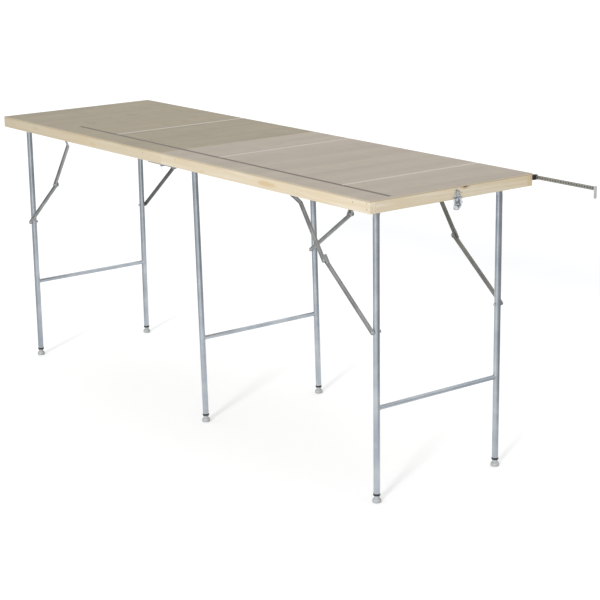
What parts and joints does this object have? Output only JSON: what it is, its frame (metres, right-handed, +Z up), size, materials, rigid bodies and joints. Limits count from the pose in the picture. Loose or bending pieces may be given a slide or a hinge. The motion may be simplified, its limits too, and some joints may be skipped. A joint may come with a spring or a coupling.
{
  "type": "wallpaper pasting table",
  "caption": "Long folding pasting table with a thin wooden board top on rails, hinged tube leg frames with channel braces, and a sliding rule behind its back rail.",
  "frame": {"origin": "on the floor under the middle of the whole box, with the rule at its drawn length", "axes": "+X along the table towards the end with the rule, +Y from the front edge to the back edge, +Z up"},
  "size_m": [2.2315, 0.6168, 0.877],
  "materials": {
    "wood": "planed pale softwood, unvarnished",
    "board": "smooth grey-beige board, matt",
    "zinc": "zinc plated, satin, bluish",
    "brace": "dark pressed steel, satin",
    "foot": "grey moulded plastic",
    "rule": "dull grey",
    "tab": "light grey moulded plastic",
    "black": "black moulded plastic",
    "clear": "clear film"
  },
  "bodies": {
    "right_half": {"board_right": "board", "rail_front_right": "wood", "rail_back_right": "wood", "rail_end_right": "wood", "rail_inner_right": "wood", "batten_right": "wood", "batten_middle": "wood", "saddle_right_front": "zinc", "saddle_right_back": "zinc", "saddle_middle_front": "zinc", "saddle_middle_back": "zinc", "right_front_bracket": "zinc", "right_back_bracket": "zinc", "middle_back_bracket": "zinc", "hinge_leaf_front_right": "zinc", "hinge_leaf_back_right": "zinc", "hinge_pin_front": "zinc", "hinge_pin_back": "zinc", "rule_track": "zinc", "rule_guide": "black", "bag_nail": "zinc"},
    "left_half": {"board_left": "board", "rail_front_left": "wood", "rail_back_left": "wood", "rail_end_left": "wood", "rail_inner_left": "wood", "batten_left": "wood", "saddle_left_front": "zinc", "saddle_left_back": "zinc", "left_front_bracket": "zinc", "left_back_bracket": "zinc", "hinge_leaf_front_left": "zinc", "hinge_leaf_back_left": "zinc"},
    "left_leg": {"left_leg_tube": "zinc", "left_stretcher": "zinc", "left_foot_front": "foot", "left_foot_back": "foot"},
    "left_front_lower": {"left_front_lower_link": "brace"},
    "left_front_upper": {"left_front_upper_link": "brace"},
    "left_back_lower": {"left_back_lower_link": "brace"},
    "left_back_upper": {"left_back_upper_link": "brace"},
    "middle_leg": {"middle_leg_tube": "zinc", "middle_stretcher": "zinc", "middle_foot_front": "foot", "middle_foot_back": "foot"},
    "middle_back_lower": {"middle_back_lower_link": "brace"},
    "middle_back_upper": {"middle_back_upper_link": "brace"},
    "right_leg": {"right_leg_tube": "zinc", "right_stretcher": "zinc", "right_foot_front": "foot", "right_foot_back": "foot"},
    "right_front_lower": {"right_front_lower_link": "brace"},
    "right_front_upper": {"right_front_upper_link": "brace"},
    "right_back_lower": {"right_back_lower_link": "brace"},
    "right_back_upper": {"right_back_upper_link": "brace"},
    "rule": {"rule_blade": "rule", "rule_tab": "tab"},
    "bag": {"parts_bag": "clear", "spare_fittings": "zinc"}
  },
  "joints": [
    {"name": "table_fold", "type": "hinge", "parent": "right_half", "child": "left_half", "pos_m": [-0.11575, -0.0084, 0.8365], "axis": [0, -1, 0], "range_deg": [0, 90]},
    {"name": "left_leg_fold", "type": "hinge", "parent": "left_half", "child": "left_leg", "pos_m": [-1.07075, -0.0084, 0.853], "axis": [0, -1, 0], "range_deg": [0, 90]},
    {"name": "left_front_lower_turn", "type": "hinge", "parent": "left_leg", "child": "left_front_lower", "pos_m": [-1.07075, -0.248, 0.495], "axis": [0, -1, 0], "range_deg": [0, 50.9]},
    {"name": "left_front_upper_turn", "type": "hinge", "parent": "left_half", "child": "left_front_upper", "pos_m": [-0.73074, -0.2544, 0.863], "axis": [0, -1, 0], "range_deg": [-53.7, 0]},
    {"name": "left_back_lower_turn", "type": "hinge", "parent": "left_leg", "child": "left_back_lower", "pos_m": [-1.07075, 0.2312, 0.495], "axis": [0, -1, 0], "range_deg": [0, 50.9]},
    {"name": "left_back_upper_turn", "type": "hinge", "parent": "left_half", "child": "left_back_upper", "pos_m": [-0.73074, 0.2376, 0.863], "axis": [0, -1, 0], "range_deg": [-53.7, 0]},
    {"name": "middle_leg_fold", "type": "hinge", "parent": "right_half", "child": "middle_leg", "pos_m": [-0.08375, 0.025, 0.853], "axis": [0, -1, 0], "range_deg": [0, 84.8]},
    {"name": "middle_back_lower_turn", "type": "hinge", "parent": "middle_leg", "child": "middle_back_lower", "pos_m": [-0.07313, 0.2439, 0.49515], "axis": [0, -1, 0], "range_deg": [0, 57.2]},
    {"name": "middle_back_upper_turn", "type": "hinge", "parent": "right_half", "child": "middle_back_upper", "pos_m": [0.25626, 0.2375, 0.863], "axis": [0, -1, 0], "range_deg": [-56.8, 0]},
    {"name": "right_leg_fold", "type": "hinge", "parent": "right_half", "child": "right_leg", "pos_m": [0.82525, -0.0084, 0.853], "axis": [0, 1, 0], "range_deg": [0, 90]},
    {"name": "right_front_lower_turn", "type": "hinge", "parent": "right_leg", "child": "right_front_lower", "pos_m": [0.82525, -0.248, 0.495], "axis": [0, 1, 0], "range_deg": [0, 50.9]},
    {"name": "right_front_upper_turn", "type": "hinge", "parent": "right_half", "child": "right_front_upper", "pos_m": [0.48524, -0.2544, 0.863], "axis": [0, 1, 0], "range_deg": [-53.7, 0]},
    {"name": "right_back_lower_turn", "type": "hinge", "parent": "right_leg", "child": "right_back_lower", "pos_m": [0.82525, 0.2312, 0.495], "axis": [0, 1, 0], "range_deg": [0, 50.9]},
    {"name": "right_back_upper_turn", "type": "hinge", "parent": "right_half", "child": "right_back_upper", "pos_m": [0.48524, 0.2376, 0.863], "axis": [0, 1, 0], "range_deg": [-53.7, 0]},
    {"name": "rule_slide", "type": "slide", "parent": "right_half", "child": "rule", "axis": [1, 0, 0], "range_m": [-0.218, 0.4]},
    {"name": "bag_swing", "type": "hinge", "parent": "right_half", "child": "bag", "pos_m": [0.88425, -0.0004, 0.8647], "axis": [1, 0, 0], "range_deg": [-40, 40]}
  ],
  "couplings": [
    {"joint": "left_front_lower_turn", "follows": "left_leg_fold", "ratio": 0.56},
    {"joint": "left_front_upper_turn", "follows": "left_leg_fold", "ratio": -0.59119},
    {"joint": "left_back_lower_turn", "follows": "left_leg_fold", "ratio": 0.56},
    {"joint": "left_back_upper_turn", "follows": "left_leg_fold", "ratio": -0.59119},
    {"joint": "middle_back_lower_turn", "follows": "middle_leg_fold", "ratio": 0.66813},
    {"joint": "middle_back_upper_turn", "follows": "middle_leg_fold", "ratio": -0.66387},
    {"joint": "right_front_lower_turn", "follows": "right_leg_fold", "ratio": 0.56},
    {"joint": "right_front_upper_turn", "follows": "right_leg_fold", "ratio": -0.59119},
    {"joint": "right_back_lower_turn", "follows": "right_leg_fold", "ratio": 0.56},
    {"joint": "right_back_upper_turn", "follows": "right_leg_fold", "ratio": -0.59119}
  ]
}
